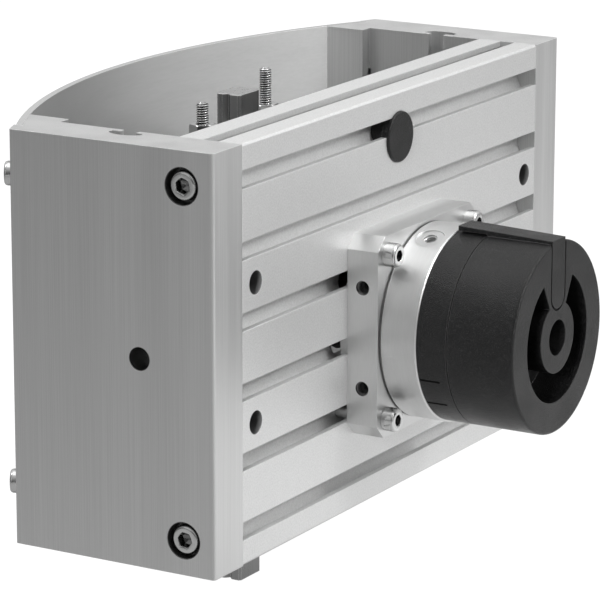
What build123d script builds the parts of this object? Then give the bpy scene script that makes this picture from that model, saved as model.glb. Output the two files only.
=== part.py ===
from build123d import *
from math import asin, cos, pi, radians, sin, sqrt
import os

# Pick and place handling module, in millimetres.
# The origin is the middle of the four mounting holes on the drive face of the plate.
# X runs along the horizontal stroke, Y from the drive towards the curved cover, Z is up.

# Housing
plate_length = 176.0
plate_thickness = 20.0
housing_height = 120.0
end_plate_thickness = 15.0
end_plate_depth = 66.0
end_plate_heel_depth = 59.5
end_plate_heel = 4.5
slot_pitch = 20.0
slot_mouth = 5.2
slot_lip = 1.8
slot_cavity = 10.6
slot_wall_depth = 4.1
slot_depth = 6.2
end_slot_setback = 35.5
edge_radius = 1.0
edge_chamfer = 0.6
mount_hole_spacing_x = 162.0
mount_hole_spacing_z = 40.0
mount_hole_diameter = 6.6
side_hole_diameter = 6.6
side_hole_setback = 24.0

# Curved cover
cover_radius = 200.0
cover_rise = 93.0
cover_sheet = 2.0
cover_margin = 5.5
cover_screw_setback = 10.5
cover_screw_drop = 15.0
cover_screw_reach = 10.0
cover_land_rise = 2.3

# Clearances
joint_gap = 0.3
thread_gap = 0.03
running_gap = 0.02
screw_clearance = 0.2
head_clearance = 0.5
head_sink = 0.2
thread_runout = 2.0

# Blanking plug in the setting bore
plug_diameter = 15.0
plug_rim = 0.8
plug_drop = 13.5
plug_body_diameter = 13.0
plug_body_length = 12.0

# Socket screws: thread diameter, head diameter, head height, key width, key depth
m3_screw = (3.0, 5.5, 3.0, 2.5, 1.5)
m4_screw = (4.0, 7.0, 4.0, 3.0, 2.2)
m5_screw = (5.0, 8.5, 5.0, 4.0, 2.6)
end_screw_drop = 10.0
end_screw_length = 22.0
short_screw_length = 5.5
rail_screw_length = 8.0
driver_screw_length = 9.0
cheek_screw_length = 12.0
barrel_screw_length = 16.0
counterbore_diameter = 10.5
counterbore_depth = 5.5

# Linkage: the drive axis, the driver radius at rest and the strokes
drive_axis_z = -7.0
horizontal_reach = 45.0
vertical_stroke = 38.0
cam_corner = 18.0
roller_diameter = 8.0
roller_length = 5.0
roller_pin_diameter = 5.0
cam_plate_thickness = 5.0
cam_margin = 15.0
cam_plate_drop = 12.0
cam_hub_bore = 27.0
cam_screw_inset = 2.0
roller_chamfer = 0.4

# Drive arm
arm_thickness = 6.0
arm_reach = 56.0
arm_hub_diameter = 24.0
arm_hub_length = 12.0
arm_clamp_offset = 8.4
arm_clamp_seat = 4.0
arm_slit = 1.5
arm_clamp_screw_length = 9.0
arm_width = 17.0
arm_slot_start = 32.0
arm_tip_radius = 2.5
shaft_chamfer = 0.5
shaft_diameter = 12.0

# Semi-rotary drive
plate_bore = 58.0
flange_thickness = 10.0
flange_chamfer = 4.0
flange_screw_gap = 2.15
flange_screw_edge = 5.5
flange_screw_length = 16.0
flange_side_pitch = 30.0
flange_side_thread = 4.2
flange_side_depth = 9.0
spigot_length = 3.0
spigot_gap = 0.05
front_boss_diameter = 34.0
front_boss_length = 9.0
barrel_diameter = 58.0
barrel_length = 11.8
barrel_chamfer = 0.3
barrel_undercut = 0.5
chamber_diameter = 44.0
chamber_depth = 8.5
rear_boss_diameter = 30.0
rear_boss_length = 9.0
bearing_diameter = 21.0
bearing_width = 5.0
seal_width = 3.0
port_angle = 20.0
port_thread = 4.2
port_spotface = 8.5
port_spotface_depth = 0.5
barrel_screw_circle = 51.0
barrel_thread_depth = 7.0
vane_thickness = 6.0
vane_seal_height = 1.0
vane_hub_diameter = 20.0
separator_angle = 40.0

# Black collar and indicator cap
collar_step = 1.0
collar_length = 9.5
collar_wall = 3.0
cap_length = 21.0
cap_edge = 0.8
cap_wall = 3.0
cap_recess = 38.4
cap_recess_depth = 12.0
cap_hub = 21.0
cap_hole = 10.6
cap_hole_depth = 9.0
cap_screw_length = 12.0
spoke_half_angle = 28.0
rib_width = 8.0
rib_back_height = 1.75
rib_front_height = 0.65
rib_groove = 0.7
rib_groove_depth = 0.8
rib_inner_end = 8.7

# Linear guides: rail width, rail height, carriage width, mounting height
guide_rail_width = 12.0
guide_rail_height = 8.0
carriage_width = 27.0
guide_height = 13.0
carriage_lift = 3.0
guide_groove = 1.3
guide_groove_setback = 3.6
guide_rail_edge = 0.6
rail_hole_pitch = 20.0
rail_hole_diameter = 3.5
rail_head_diameter = 6.0
rail_head_depth = 4.5
end_cap_length = 4.5
end_cap_edge = 0.5
end_cap_chamfer = 2.0
carriage_hole_x = 10.0
carriage_hole_along = 5.0
carriage_thread_depth = 4.0

# Horizontal guide
horizontal_rail_length = 160.0
horizontal_rail_z = -42.0
horizontal_carriage_length = 45.0

# Vertical guide
vertical_rail_length = 151.5
vertical_rail_top = 54.5
vertical_rail_y = 51.0
vertical_rail_first_hole = 13.5
vertical_carriage_length = 34.0
vertical_carriage_tops = (12.0, -24.0)
tool_thread = 3.3
tool_thread_depth = 10.0

# Cross slide
slide_width = 60.0
slide_plate = 6.0
slide_foot_height = 28.0
cheek_screw_offset = 8.0
cheek_thread_depth = 8.0
guide_plate_width = 48.0
guide_plate_top = 40.0
guide_window_width = 14.0
guide_window_height = 22.0
guide_window_gap = 2.0
guide_plate_corner = 3.0
lug_width = 8.4
lug_top = 44.5
lug_height = 12.5
lug_back_gap = 3.8
lug_reach = 11.5
stop_screw_x = 18.0
stop_screw_y = 56.3
stop_screw_tops = (53.9, 58.5)
stop_screw_diameter = 4.0
stop_screw_key = 2.0
stop_screw_key_depth = 2.5
lock_nut_width = 7.0
lock_nut_height = 3.2
lock_nut_turn = 8.0
lock_nut_chamfer = 0.35
stop_screw_chamfer = 0.6

# Driver block on the vertical rail
driver_block_width = 42.0
driver_block_depth = 8.0
driver_block_top = 44.5
driver_block_bottom = 16.0
driver_ear_height = 6.0
driver_ear_width = 6.0
driver_neck_margin = 6.0
buffer_diameter = 12.0
buffer_setback = 51.0
buffer_edge = 1.5
buffer_stud = 5.0

# Worked out from the sizes above
half_height = housing_height / 2
half_plate = plate_length / 2
half_length = half_plate + end_plate_thickness
plug_height = half_height - plug_drop
end_screw_height = half_height - end_screw_drop
cover_screw_height = half_height - cover_screw_drop
flange_screw_circle = barrel_diameter + m4_screw[1] + 2 * flange_screw_gap
flange_screw_pitch = flange_screw_circle / sqrt(2)
flange_width = flange_screw_pitch + 2 * flange_screw_edge
cover_centre_y = cover_rise - cover_radius
sheet_end = half_length - cover_margin
driver_z = drive_axis_z + vertical_stroke
cam_back = plate_thickness + cam_plate_thickness
arm_front = cam_back + 2 * joint_gap
arm_back = arm_front + arm_thickness
collar_diameter = barrel_diameter - collar_step
barrel_front = -flange_thickness - barrel_length
collar_front = barrel_front - collar_length
cap_back = collar_front - joint_gap
cap_front = cap_back - cap_length
chamber_back = -flange_thickness - chamber_depth
rear_boss_front = barrel_front - rear_boss_length
horizontal_guide_face = plate_thickness + guide_height
vertical_guide_face = vertical_rail_y + guide_height
slide_front_back = horizontal_guide_face + slide_plate
guide_plate_back = vertical_guide_face + slide_plate
slide_foot_top = horizontal_rail_z + slide_foot_height / 2
slide_foot_bottom = horizontal_rail_z - slide_foot_height / 2
ear_top = driver_block_bottom + driver_ear_height
head_seat = m3_screw[2] + head_sink
guide_plate_middle = (vertical_guide_face + guide_plate_back) / 2
roller_bore = roller_pin_diameter - 2 * thread_gap + 2 * running_gap


def block(x0, x1, y0, y1, z0, z1):
    return Pos((x0 + x1) / 2, (y0 + y1) / 2, (z0 + z1) / 2) * Box(x1 - x0, y1 - y0, z1 - z0)


def rod_x(diameter, x0, x1, y, z):
    return Pos((x0 + x1) / 2, y, z) * Rot(0, 90, 0) * Cylinder(diameter / 2, x1 - x0)


def rod_y(diameter, y0, y1, x=0.0, z=drive_axis_z):
    return Pos(x, (y0 + y1) / 2, z) * Rot(90, 0, 0) * Cylinder(diameter / 2, y1 - y0)


def rod_z(diameter, z0, z1, x, y):
    return Pos(x, y, (z0 + z1) / 2) * Cylinder(diameter / 2, z1 - z0)


def facing(origin, direction):
    return Plane(origin=origin, z_dir=direction).location


def group(solids):
    return Compound(children=list(solids))


# A hole cutter that starts at the origin and runs towards -Z
def drilled(diameter, depth):
    return Pos(0, 0, -depth / 2) * Cylinder(diameter / 2, depth)


# A socket screw with the underside of its head at the origin and its head towards +Z
def socket_screw(size, length):
    thread, head, height, key, key_depth = size
    screw = Pos(0, 0, height / 2) * Cylinder(head / 2, height)
    screw = chamfer(screw.edges().group_by(Axis.Z)[-1], head / 20)
    screw += Pos(0, 0, -length / 2) * Cylinder(thread / 2 - thread_gap, length)
    socket = RegularPolygon(key / 2, 6, major_radius=False)
    return screw - Pos(0, 0, height - key_depth) * extrude(socket, key_depth)


def socket_screws(size, length, places):
    screw = socket_screw(size, length)
    return group(facing(origin, direction) * screw for origin, direction in places)


def clearance_hole(size):
    return size[0] + 2 * screw_clearance


# A T-slot cutter: its depth runs along into, its length along run
def slot_cutter(origin, into, run, length):
    mouth = slot_mouth / 2
    cavity = slot_cavity / 2
    outline = Polyline(
        (slot_wall_depth, cavity), (slot_lip, cavity), (slot_lip, mouth), (-slot_lip, mouth),
        (-slot_lip, -mouth), (slot_lip, -mouth), (slot_lip, -cavity), (slot_wall_depth, -cavity),
    )
    floor = ThreePointArc((slot_wall_depth, -cavity), (slot_depth, 0), (slot_wall_depth, cavity))
    profile = make_face(outline + floor)
    return extrude(Plane(origin=origin, x_dir=into, z_dir=run) * profile, length / 2, both=True)


def mount_hole_places():
    return [(side * mount_hole_spacing_x / 2, level * mount_hole_spacing_z / 2)
            for side in (-1, 1) for level in (-1, 1)]


def flange_screw_places():
    half = flange_screw_pitch / 2
    return [(side * half, drive_axis_z + level * half) for side in (-1, 1) for level in (-1, 1)]


def cam_screw_places():
    inset = m4_screw[1] / 2 + cam_screw_inset
    side = horizontal_reach + cam_margin - inset
    top = driver_z + cam_margin - inset
    bottom = drive_axis_z - cam_plate_drop + inset
    return [(-side, bottom), (side, bottom), (-side, top), (0, top), (side, top)]


def rail_hole_offsets(count):
    return [(index - (count - 1) / 2) * rail_hole_pitch for index in range(count)]


def horizontal_hole_places():
    return rail_hole_offsets(int(horizontal_rail_length // rail_hole_pitch))


def vertical_hole_places():
    top = vertical_rail_top - vertical_rail_first_hole
    count = int((vertical_rail_length - vertical_rail_first_hole) // rail_hole_pitch) + 1
    return [top - index * rail_hole_pitch for index in range(count)]


def driver_screw_places():
    return vertical_hole_places()[:2]


# Aluminium profile that carries the drive, with T-slots on its front, top and bottom
def make_drive_plate():
    plate = block(-half_plate, half_plate, 0, plate_thickness, -half_height, half_height)
    front_edges = plate.edges().filter_by(Axis.X).group_by(Axis.Y)[0]
    plate = chamfer(front_edges, edge_chamfer)
    rows = int(housing_height // slot_pitch)
    for row in range(rows):
        level = (row - (rows - 1) / 2) * slot_pitch
        plate -= slot_cutter((0, 0, level), (0, 1, 0), (1, 0, 0), plate_length)
    middle = plate_thickness / 2
    for side in (-1, 1):
        plate -= slot_cutter((0, middle, side * half_height), (0, 0, -side), (1, 0, 0), plate_length)
    plate -= rod_y(plate_bore, 0, plate_thickness)
    plate -= rod_y(plug_body_diameter + spigot_gap, 0, plug_body_length + thread_runout, z=plug_height)
    plate -= rod_y(plug_diameter + 2 * spigot_gap, 0, slot_lip, z=plug_height)
    for x, z in mount_hole_places():
        plate -= rod_y(mount_hole_diameter, 0, plate_thickness, x, z)
    for x, z in flange_screw_places():
        plate -= rod_y(m4_screw[0], 0, plate_thickness, x, z)
    for x, z in cam_screw_places():
        plate -= rod_y(m4_screw[0], plate_thickness / 2, plate_thickness, x, z)
    for x in horizontal_hole_places():
        plate -= rod_y(m3_screw[0], plate_thickness / 2, plate_thickness, x, horizontal_rail_z)
    depth = end_screw_length - (end_plate_thickness - counterbore_depth)
    for side in (-1, 1):
        inner, outer = sorted((side * (half_plate - depth - thread_runout), side * half_plate))
        for level in (-1, 1):
            plate -= rod_x(m5_screw[0], inner, outer, middle, level * end_screw_height)
    return plate


def cover_arc_y(radius, x):
    return cover_centre_y + sqrt(radius ** 2 - x ** 2)


def cover_screw_angle():
    return asin((half_length - cover_screw_setback) / cover_radius)


def cover_screw_place(side, level):
    angle = cover_screw_angle()
    direction = Vector(side * sin(angle), cos(angle), 0)
    seat = Vector(0, cover_centre_y, level * cover_screw_height) + direction * cover_radius
    return seat, direction


# End plate: a thin wall with a heel that follows the curved cover, and a rebate for the sheet
def make_left_end_plate():
    inner_radius = cover_radius - cover_sheet
    heel = -half_plate + end_plate_heel
    middle = (heel - sheet_end) / 2
    rebate_top = end_plate_depth + cover_land_rise
    start = (-half_length, end_plate_depth)
    outline = Polyline(
        (-sheet_end, cover_arc_y(inner_radius, sheet_end)), (-sheet_end, rebate_top), start,
        (-half_length, 0), (-half_plate, 0), (-half_plate, end_plate_heel_depth),
        (heel, end_plate_heel_depth), (heel, cover_arc_y(inner_radius, heel)),
    )
    seat = ThreePointArc(
        (heel, cover_arc_y(inner_radius, heel)), (middle, cover_arc_y(inner_radius, middle)),
        (-sheet_end, cover_arc_y(inner_radius, sheet_end)),
    )
    plate = extrude(make_face(outline + seat), half_height, both=True)
    corner = plate.edges().filter_by(Axis.Z).sort_by(lambda edge: edge.center().X + edge.center().Y)[0]
    plate = fillet(corner, edge_radius)
    plate -= slot_cutter((-half_plate, end_slot_setback, 0), (-1, 0, 0), (0, 0, 1), housing_height)
    for level in (-1, 1):
        z = level * end_screw_height
        y = plate_thickness / 2
        plate -= rod_x(clearance_hole(m5_screw), -half_length, -half_plate, y, z)
        plate -= rod_x(counterbore_diameter, -half_length, counterbore_depth - half_length, y, z)
        seat_point, direction = cover_screw_place(-1, level)
        hole = drilled(m4_screw[0], cover_screw_reach + thread_runout)
        plate -= facing(seat_point, direction) * hole
    plate -= rod_x(side_hole_diameter, -half_length, -half_plate, side_hole_setback, 0)
    plate -= rod_x(m3_screw[0], -half_plate - slot_depth, -half_plate, buffer_setback, horizontal_rail_z)
    return plate


# Brushed sheet, rolled to one radius
def make_curved_cover():
    width = sheet_end - joint_gap / 2
    inner_radius = cover_radius - cover_sheet
    outer_y = cover_arc_y(cover_radius, width)
    inner_y = cover_arc_y(inner_radius, width)
    outer = ThreePointArc((-width, outer_y), (0, cover_rise), (width, outer_y))
    inner = ThreePointArc((width, inner_y), (0, cover_rise - cover_sheet), (-width, inner_y))
    ends = Line(outer @ 1, inner @ 0) + Line(inner @ 1, outer @ 0)
    cover = extrude(make_face(outer + inner + ends), half_height, both=True)
    for side in (-1, 1):
        for level in (-1, 1):
            seat, direction = cover_screw_place(side, level)
            cover -= facing(seat, direction) * Cylinder(clearance_hole(m4_screw) / 2, 4 * cover_sheet)
    return cover


def make_cover_screws():
    places = [cover_screw_place(side, level) for side in (-1, 1) for level in (-1, 1)]
    return socket_screws(m4_screw, cover_screw_reach, places)


def make_end_plate_screws():
    seat = half_length - counterbore_depth
    places = [((side * seat, plate_thickness / 2, level * end_screw_height), (side, 0, 0))
              for side in (-1, 1) for level in (-1, 1)]
    return socket_screws(m5_screw, end_screw_length, places)


def make_blanking_plug():
    rim = rod_y(plug_diameter, -plug_rim, slot_lip, z=plug_height)
    rim = fillet(rim.edges().group_by(Axis.Y)[0], plug_rim / 2)
    return rim + rod_y(plug_body_diameter, slot_lip, plug_body_length, z=plug_height)


# Cam plate with the inverted-U slot that guides the driver roller
def make_cam_plate():
    side = horizontal_reach + cam_margin
    top = driver_z + cam_margin
    bottom = drive_axis_z - cam_plate_drop
    plate = block(-side, side, plate_thickness, cam_back, bottom, top)
    plate = fillet(plate.edges().filter_by(Axis.Y), cam_margin / 3)
    corner = cam_corner * (1 - cos(pi / 4))
    reach = horizontal_reach
    path = (
        Line((-reach, drive_axis_z), (-reach, driver_z - cam_corner))
        + ThreePointArc((-reach, driver_z - cam_corner), (corner - reach, driver_z - corner),
                        (cam_corner - reach, driver_z))
        + Line((cam_corner - reach, driver_z), (reach - cam_corner, driver_z))
        + ThreePointArc((reach - cam_corner, driver_z), (reach - corner, driver_z - corner),
                        (reach, driver_z - cam_corner))
        + Line((reach, driver_z - cam_corner), (reach, drive_axis_z))
    )
    slot_profile = trace(path, roller_diameter + 2 * running_gap)
    slot_plane = Plane(origin=(0, cam_back, 0), x_dir=(1, 0, 0), z_dir=(0, -1, 0))
    plate -= extrude(slot_plane * slot_profile, cam_plate_thickness)
    for x in (-reach, reach):
        plate -= rod_y(roller_diameter + 2 * running_gap, plate_thickness, cam_back, x)
    plate -= rod_y(cam_hub_bore, plate_thickness, cam_back)
    for x, z in cam_screw_places():
        plate -= rod_y(clearance_hole(m4_screw), plate_thickness, cam_back, x, z)
        plate -= rod_y(m4_screw[1] + head_clearance, cam_back - m4_screw[2], cam_back, x, z)
    return plate


def make_cam_plate_screws():
    seat = cam_back - m4_screw[2]
    places = [((x, seat, z), (0, 1, 0)) for x, z in cam_screw_places()]
    return socket_screws(m4_screw, plate_thickness / 2 - thread_runout, places)


def carriage_hole_offsets():
    return [(side * carriage_hole_x, end * carriage_hole_along) for side in (-1, 1) for end in (-1, 1)]


# A guide rail along +Z with its base at y = 0 and its top at y = guide_rail_height
def guide_rail(length):
    half = guide_rail_width / 2
    edge = guide_rail_edge
    groove_y = guide_rail_height - guide_groove_setback
    side = [
        (half - edge, 0), (half, edge), (half, groove_y - guide_groove), (half - guide_groove, groove_y),
        (half, groove_y + guide_groove), (half, guide_rail_height - edge), (half - edge, guide_rail_height),
    ]
    other = [(-x, y) for x, y in reversed(side)]
    return extrude(make_face(Polyline(*side, *other, side[0])), length / 2, both=True)


def rail_hole(depth=guide_rail_height):
    hole = Pos(0, depth / 2, 0) * Rot(90, 0, 0) * Cylinder(rail_hole_diameter / 2, depth)
    seat = depth - rail_head_depth / 2
    return hole + Pos(0, seat, 0) * Rot(90, 0, 0) * Cylinder(rail_head_diameter / 2, rail_head_depth)


# A carriage along +Z: a channel that grips the rail, with a sealed end cap at both ends
def guide_carriage(length, rail_clearance=joint_gap):
    half = carriage_width / 2
    inner = guide_rail_width / 2 + rail_clearance
    roof = guide_rail_height + rail_clearance
    groove_y = guide_rail_height - guide_groove_setback
    tip = inner - guide_groove
    outline = Polyline(
        (-half, carriage_lift), (-inner, carriage_lift), (-inner, groove_y - guide_groove),
        (-tip, groove_y), (-inner, groove_y + guide_groove), (-inner, roof), (inner, roof),
        (inner, groove_y + guide_groove), (tip, groove_y), (inner, groove_y - guide_groove),
        (inner, carriage_lift), (half, carriage_lift), (half, guide_height), (-half, guide_height),
        (-half, carriage_lift),
    )
    body = extrude(make_face(outline), length / 2 - end_cap_length, both=True)
    for x, z in carriage_hole_offsets():
        hole = Rot(90, 0, 0) * Cylinder(m3_screw[0] / 2, carriage_thread_depth)
        body -= Pos(x, guide_height - carriage_thread_depth / 2, z) * hole
    return body


def carriage_end_caps(length, rail_clearance=joint_gap):
    half = carriage_width / 2 - end_cap_edge
    top = guide_height - end_cap_edge
    bevel = half - end_cap_chamfer
    shoulder = top - end_cap_edge
    inner = guide_rail_width / 2 + rail_clearance
    roof = guide_rail_height + rail_clearance
    outline = Polyline(
        (-half, carriage_lift), (-inner, carriage_lift), (-inner, roof), (inner, roof),
        (inner, carriage_lift), (half, carriage_lift), (half, shoulder), (bevel, top), (-bevel, top),
        (-half, shoulder), (-half, carriage_lift),
    )
    cap = extrude(make_face(outline), end_cap_length)
    return [Pos(0, 0, length / 2 - end_cap_length) * cap, Pos(0, 0, -length / 2) * cap]


horizontal_guide = Location((0, plate_thickness, horizontal_rail_z), (0, 90, 0))


def make_horizontal_rail():
    rail = horizontal_guide * guide_rail(horizontal_rail_length)
    for x in horizontal_hole_places():
        rail -= Pos(x, plate_thickness, horizontal_rail_z) * rail_hole()
    return rail


def make_horizontal_rail_screws():
    seat = plate_thickness + guide_rail_height - rail_head_depth
    places = [((x, seat, horizontal_rail_z), (0, 1, 0)) for x in horizontal_hole_places()]
    return socket_screws(m3_screw, rail_screw_length, places)


def make_horizontal_carriage():
    return horizontal_guide * guide_carriage(horizontal_carriage_length)


def make_horizontal_end_caps():
    caps = carriage_end_caps(horizontal_carriage_length)
    return group(horizontal_guide * cap for cap in caps)


def horizontal_carriage_holes():
    return [(along, horizontal_rail_z + across) for across, along in carriage_hole_offsets()]


# Plate on the horizontal carriage
def make_carriage_plate():
    half = slide_width / 2
    plate = block(-half, half, horizontal_guide_face, slide_front_back, slide_foot_bottom, slide_foot_top)
    for x, z in horizontal_carriage_holes():
        plate -= rod_y(clearance_hole(m3_screw), horizontal_guide_face, slide_front_back, x, z)
        plate -= rod_y(rail_head_diameter, slide_front_back - head_seat, slide_front_back, x, z)
    for x, z in cheek_middles():
        plate -= rod_y(clearance_hole(m3_screw), horizontal_guide_face, slide_front_back, x, z)
    return plate


def make_carriage_plate_screws():
    places = [((x, slide_front_back - head_seat, z), (0, 1, 0)) for x, z in horizontal_carriage_holes()]
    return socket_screws(m3_screw, short_screw_length, places)


def cheek_screw_levels():
    return [horizontal_rail_z - cheek_screw_offset, horizontal_rail_z + cheek_screw_offset]


def cheek_middles():
    middle = (guide_plate_width + slide_plate) / 2
    return [(side * middle, level) for side in (-1, 1) for level in cheek_screw_levels()]


# Cheek beside the vertical rail, between the carriage plate and the guide plate
def make_cheek(side):
    outer = guide_plate_width / 2
    x0, x1 = sorted((side * outer, side * (outer + slide_plate)))
    cheek = block(x0, x1, slide_front_back, guide_plate_back, slide_foot_bottom, slide_foot_top)
    for level in cheek_screw_levels():
        cheek -= rod_x(clearance_hole(m3_screw), x0, x1, guide_plate_middle, level)
        middle = (x0 + x1) / 2
        cheek -= rod_y(m3_screw[0], slide_front_back, slide_front_back + cheek_thread_depth, middle, level)
    return cheek


def make_cheek_screws():
    outer = guide_plate_width / 2 + slide_plate
    places = [((side * outer, guide_plate_middle, level), (side, 0, 0))
              for side in (-1, 1) for level in cheek_screw_levels()]
    places += [((x, horizontal_guide_face, z), (0, -1, 0)) for x, z in cheek_middles()]
    return socket_screws(m3_screw, cheek_screw_length, places)


# Guide plate: carries the two vertical carriages and the stop screw lugs
def make_guide_plate():
    half = guide_plate_width / 2
    plate = block(-half, half, vertical_guide_face, guide_plate_back, slide_foot_bottom, guide_plate_top)
    plate = fillet(plate.edges().filter_by(Axis.Y).group_by(Axis.Z)[-1], guide_plate_corner)
    lug_bottom = lug_top - lug_height
    lug_front = vertical_guide_face - lug_reach
    for side in (-1, 1):
        x0 = side * stop_screw_x - lug_width / 2
        x1 = x0 + lug_width
        plate += block(x0, x1, lug_front, vertical_guide_face, lug_bottom, guide_plate_top)
        plate += block(x0, x1, lug_front, stop_screw_y + lug_back_gap, guide_plate_top, lug_top)
        plate -= rod_z(stop_screw_diameter, lug_bottom, lug_top, side * stop_screw_x, stop_screw_y)
        for level in cheek_screw_levels():
            inner, outer = sorted((side * half, side * (half - cheek_thread_depth)))
            plate -= rod_x(m3_screw[0], inner, outer, guide_plate_middle, level)
    window_bottom = vertical_carriage_tops[0] + guide_window_gap
    window = block(-guide_window_width / 2, guide_window_width / 2, vertical_guide_face, guide_plate_back,
                   window_bottom, window_bottom + guide_window_height)
    plate -= fillet(window.edges().filter_by(Axis.Y), guide_plate_corner)
    for x, z in vertical_carriage_holes():
        plate -= rod_y(clearance_hole(m3_screw), vertical_guide_face, guide_plate_back, x, z)
        plate -= rod_y(rail_head_diameter, guide_plate_back - head_seat, guide_plate_back, x, z)
    return plate


def vertical_carriage_holes():
    return [(x, top - vertical_carriage_length / 2 + z)
            for top in vertical_carriage_tops for x, z in carriage_hole_offsets()]


def make_guide_plate_screws():
    places = [((x, guide_plate_back - head_seat, z), (0, 1, 0)) for x, z in vertical_carriage_holes()]
    return socket_screws(m3_screw, short_screw_length, places)


def vertical_guide(middle):
    return Pos(0, vertical_rail_y, middle)


def make_vertical_carriage(top):
    return vertical_guide(top - vertical_carriage_length / 2) * guide_carriage(vertical_carriage_length)


def make_vertical_end_caps():
    caps = []
    for top in vertical_carriage_tops:
        middle = top - vertical_carriage_length / 2
        caps += [vertical_guide(middle) * cap for cap in carriage_end_caps(vertical_carriage_length)]
    return group(caps)


# Grub screws that set the ends of the vertical stroke, locked by thin nuts on the lugs
def make_stop_screws():
    tip = ear_top + joint_gap
    screws = []
    for side, top in zip((-1, 1), stop_screw_tops):
        x = side * stop_screw_x
        rod = rod_z(stop_screw_diameter - 2 * thread_gap, tip, top, x, stop_screw_y)
        rod = chamfer(rod.edges().group_by(Axis.Z)[-1], stop_screw_chamfer)
        socket = extrude(RegularPolygon(stop_screw_key / 2, 6, major_radius=False), stop_screw_key_depth)
        screws.append(rod - Pos(x, stop_screw_y, top - stop_screw_key_depth) * socket)
    return group(screws)


def make_lock_nuts():
    corner = lock_nut_width / sqrt(3)
    nut = extrude(RegularPolygon(lock_nut_width / 2, 6, major_radius=False), lock_nut_height)
    rim = Pos(0, 0, lock_nut_height / 2) * Cylinder(corner, lock_nut_height)
    nut = nut & chamfer(rim.edges().group_by(Axis.Z)[-1], lock_nut_chamfer)
    nut -= Pos(0, 0, lock_nut_height / 2) * Cylinder(stop_screw_diameter / 2, lock_nut_height)
    nut = Rot(0, 0, lock_nut_turn) * nut
    return group(Pos(side * stop_screw_x, stop_screw_y, lug_top) * nut for side in (-1, 1))


def make_vertical_rail():
    rail = vertical_guide(vertical_rail_top - vertical_rail_length / 2) * guide_rail(vertical_rail_length)
    for z in vertical_hole_places():
        rail -= Pos(0, vertical_rail_y, z) * rail_hole()
    bottom = vertical_rail_top - vertical_rail_length
    middle = vertical_rail_y + guide_rail_height / 2
    rail -= rod_z(tool_thread, bottom, bottom + tool_thread_depth, 0, middle)
    return rail


# Driver block: clamped to the base of the vertical rail, with ears that meet the stop screws
def make_driver_block():
    half = driver_block_width / 2
    front = vertical_rail_y - driver_block_depth
    body = block(-half, half, front, vertical_rail_y, driver_block_bottom, driver_block_top)
    neck = guide_rail_width / 2 + driver_neck_margin
    for side in (-1, 1):
        x0, x1 = sorted((side * neck, side * half))
        body -= block(x0, x1, front, vertical_rail_y, ear_top, driver_block_top)
        ear_x0, ear_x1 = sorted((side * (half - driver_ear_width), side * half))
        ear_back = stop_screw_y + stop_screw_diameter
        body += block(ear_x0, ear_x1, vertical_rail_y, ear_back, driver_block_bottom, ear_top)
    body -= rod_y(roller_pin_diameter, front, vertical_rail_y, z=driver_z)
    for z in driver_screw_places():
        body -= rod_y(m3_screw[0], front, vertical_rail_y, z=z)
    return body


def make_driver_block_screws():
    seat = vertical_rail_y + guide_rail_height - rail_head_depth
    places = [((0, seat, z), (0, 1, 0)) for z in driver_screw_places()]
    return socket_screws(m3_screw, driver_screw_length, places)


def make_driver_pin():
    seat = vertical_rail_y - driver_block_depth
    shoulder = rod_y(roller_diameter, driver_pin_shoulder(), seat, z=driver_z)
    pin = rod_y(roller_pin_diameter - 2 * thread_gap, driver_pin_tip(), vertical_rail_y, z=driver_z)
    return shoulder + pin


def driver_pin_tip():
    return arm_back + joint_gap


def driver_pin_shoulder():
    return driver_pin_tip() + roller_length + 2 * joint_gap


def make_cam_roller():
    start = driver_pin_tip() + joint_gap
    roller = rod_y(roller_diameter, start, start + roller_length, z=driver_z)
    roller -= rod_y(roller_bore, start, start + roller_length, z=driver_z)
    rims = roller.edges().filter_by(GeomType.CIRCLE).group_by(SortBy.LENGTH)[-1]
    return chamfer(rims, roller_chamfer)


# Forked arm on the drive shaft: the driver roller runs between its two prongs
def make_drive_arm():
    hub = rod_y(arm_hub_diameter, arm_front - arm_hub_length, arm_back)
    half = arm_width / 2
    blade = block(-half, half, arm_front, arm_back, drive_axis_z, drive_axis_z + arm_reach)
    blade = fillet(blade.edges().filter_by(Axis.Y).group_by(Axis.Z)[-1], arm_tip_radius)
    slot_half = roller_diameter / 2 + running_gap
    slot = block(-slot_half, slot_half, arm_front, arm_back,
                 drive_axis_z + arm_slot_start, drive_axis_z + arm_reach)
    slot += rod_y(2 * slot_half, arm_front, arm_back, z=drive_axis_z + arm_slot_start)
    arm = hub + blade - slot
    hub_front = arm_front - arm_hub_length
    hub_radius = arm_hub_diameter / 2
    arm -= rod_y(shaft_diameter + 2 * thread_gap, hub_front, arm_back)
    arm -= block(-arm_slit / 2, arm_slit / 2, hub_front, arm_front, drive_axis_z - hub_radius, drive_axis_z)
    screw_y, screw_z = arm_clamp_place()
    arm -= rod_x(m3_screw[0], -hub_radius, hub_radius, screw_y, screw_z)
    arm -= rod_x(rail_head_diameter, -hub_radius, -arm_clamp_seat, screw_y, screw_z)
    return arm


def arm_clamp_place():
    screw_y = arm_front - arm_hub_length + rail_head_diameter / 2 + joint_gap
    return screw_y, drive_axis_z - arm_clamp_offset


def make_arm_clamp_screw():
    place = (-arm_clamp_seat, *arm_clamp_place())
    return facing(place, (-1, 0, 0)) * socket_screw(m3_screw, arm_clamp_screw_length)


def make_drive_shaft():
    front = cap_front + cap_recess_depth
    shaft = rod_y(shaft_diameter, front, arm_back)
    shaft = chamfer(shaft.edges().filter_by(GeomType.CIRCLE), shaft_chamfer)
    return shaft - rod_y(m4_screw[0], front, front + cap_screw_length)


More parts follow.
